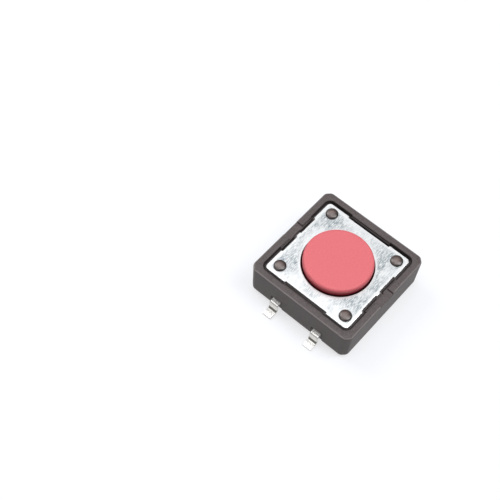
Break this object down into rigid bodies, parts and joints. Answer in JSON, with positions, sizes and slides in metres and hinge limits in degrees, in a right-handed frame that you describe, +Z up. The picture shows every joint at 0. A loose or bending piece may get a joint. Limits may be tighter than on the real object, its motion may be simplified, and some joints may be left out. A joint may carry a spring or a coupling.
{
  "type": "tactile push button switch",
  "caption": "Square surface mount tactile switch: dark moulded housing, steel cover plate held by staked posts, round red push button, snap dome inside and leads on opposite sides.",
  "frame": {"origin": "middle of the plane that the four lead feet stand on", "axes": "+Z up, along the push button's axis, away from the board; +X along the leads, which come out on the +X and -X sides; +Y towards the common contact frame"},
  "size_m": [0.0148, 0.012, 0.0047],
  "materials": {
    "housing_plastic": "satin moulded",
    "plated_contact": "bright silver plating",
    "spring_steel": "bright rolled",
    "button_plastic": "fine matte",
    "cover_steel": "brushed"
  },
  "bodies": {
    "switch_body": {"base_housing": "housing_plastic", "contact_frame_common": "plated_contact", "contact_frame_centre": "plated_contact", "snap_dome": "spring_steel", "cover_plate": "cover_steel"},
    "button": {"push_button": "button_plastic"}
  },
  "joints": [
    {"name": "button_press", "type": "slide", "parent": "switch_body", "child": "button", "axis": [0, 0, -1], "range_m": [0, 0.0003], "stiffness_N_per_m": 5000, "springref_m": -0.00002, "deforming": ["snap_dome"]}
  ]
}
